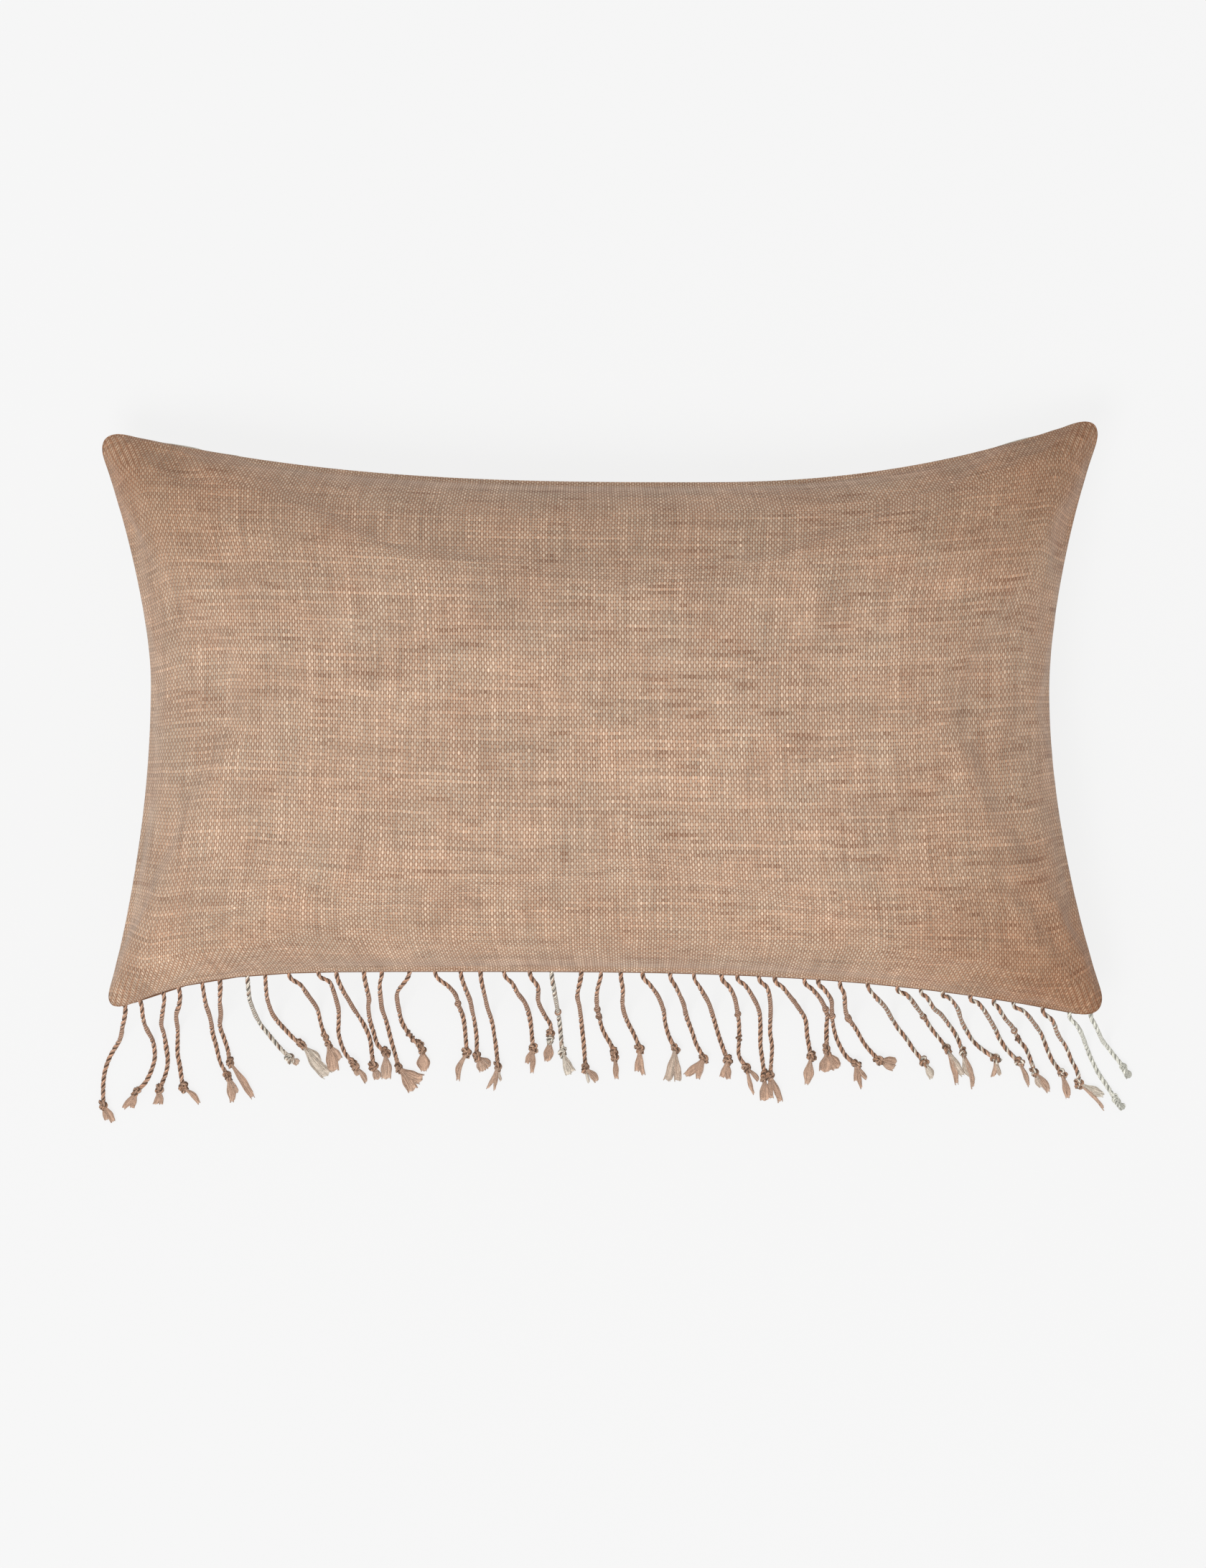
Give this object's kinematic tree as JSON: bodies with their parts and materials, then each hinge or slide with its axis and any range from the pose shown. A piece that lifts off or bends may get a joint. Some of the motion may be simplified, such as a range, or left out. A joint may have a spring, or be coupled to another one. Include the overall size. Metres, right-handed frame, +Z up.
{
  "type": "throw pillow",
  "caption": "Rectangular lumbar throw pillow in handwoven cloth, with a zipped cover, a stuffed insert and a knotted cord fringe along one long edge.",
  "frame": {"origin": "bottom centre of the pillow without its fringe cords, on the face that it rests on", "axes": "+X to the right along the long seams, +Y towards the zipped top seam, away from the fringe, +Z up, out of the front panel"},
  "size_m": [0.5327, 0.3584, 0.122],
  "materials": {
    "handwoven_cloth": "plain handloom weave in blush terracotta with darker slubs, matt with a faint sheen",
    "undyed_cloth": "plain undyed cotton canvas, matt",
    "insert_casing": "white non-woven casing, matt",
    "fibre_fill": "white polyester fibre",
    "sewing_thread": "pale overlocking thread",
    "label_satin": "blank white satin",
    "header_tape": "brown twill tape",
    "cord_brown": "two-ply twisted cotton cord, brown and tan",
    "cord_mixed": "two-ply twisted cotton cord, one brown and one undyed ply",
    "cord_undyed": "two-ply twisted cotton cord, undyed",
    "tassel_yarn": "loose unspun cotton ends",
    "zip_tape": "woven zip tape, ivory",
    "zip_coil": "nylon coil, ivory",
    "zip_metal": "nickel plated zinc, satin"
  },
  "bodies": {
    "root": {"cover_front": "handwoven_cloth", "cover_back": "undyed_cloth", "insert_casing_front": "insert_casing", "insert_casing_back": "insert_casing", "fill": "fibre_fill", "seam_stitching": "sewing_thread", "care_label": "label_satin", "fringe_header": "header_tape", "fringe_knots": "cord_brown", "fringe_tassels": "tassel_yarn", "zip_tape_front": "zip_tape", "zip_tape_back": "zip_tape", "zip_coil_front": "zip_coil", "zip_coil_back": "zip_coil", "zip_end_stops": "zip_metal", "fringe_cord_01": "cord_brown", "fringe_cord_02": "cord_brown", "fringe_cord_03": "cord_brown", "fringe_cord_04": "cord_brown", "fringe_cord_05": "cord_brown", "fringe_cord_06": "cord_brown", "fringe_cord_07": "cord_mixed", "fringe_cord_08": "cord_mixed", "fringe_cord_09": "cord_brown", "fringe_cord_10": "cord_brown", "fringe_cord_11": "cord_brown", "fringe_cord_12": "cord_brown", "fringe_cord_13": "cord_brown", "fringe_cord_14": "cord_brown", "fringe_cord_15": "cord_brown", "fringe_cord_16": "cord_brown", "fringe_cord_17": "cord_brown", "fringe_cord_18": "cord_brown", "fringe_cord_19": "cord_brown", "fringe_cord_20": "cord_mixed", "fringe_cord_21": "cord_brown", "fringe_cord_22": "cord_brown", "fringe_cord_23": "cord_brown", "fringe_cord_24": "cord_brown", "fringe_cord_25": "cord_brown", "fringe_cord_26": "cord_brown", "fringe_cord_27": "cord_brown", "fringe_cord_28": "cord_brown", "fringe_cord_29": "cord_brown", "fringe_cord_30": "cord_brown", "fringe_cord_31": "cord_brown", "fringe_cord_32": "cord_brown", "fringe_cord_33": "cord_brown", "fringe_cord_34": "cord_mixed", "fringe_cord_35": "cord_mixed", "fringe_cord_36": "cord_mixed", "fringe_cord_37": "cord_mixed", "fringe_cord_38": "cord_mixed", "fringe_cord_39": "cord_mixed", "fringe_cord_40": "cord_mixed", "fringe_cord_41": "cord_mixed", "fringe_cord_42": "cord_undyed", "fringe_cord_43": "cord_undyed"},
    "slider": {"zip_slider": "zip_metal"},
    "pull_tab": {"zip_pull_tab": "zip_metal"}
  },
  "joints": [
    {"name": "slider_travel", "type": "hinge", "parent": "root", "child": "slider", "pos_m": [0.002, 1.421, 0.04], "axis": [0, 0, -1], "range_deg": [0, 14.26]},
    {"name": "pull_tab_swing", "type": "hinge", "parent": "slider", "child": "pull_tab", "pos_m": [0.16392, 0.12921, 0.04], "axis": [0, 0, -1], "range_deg": [0, 160]}
  ]
}
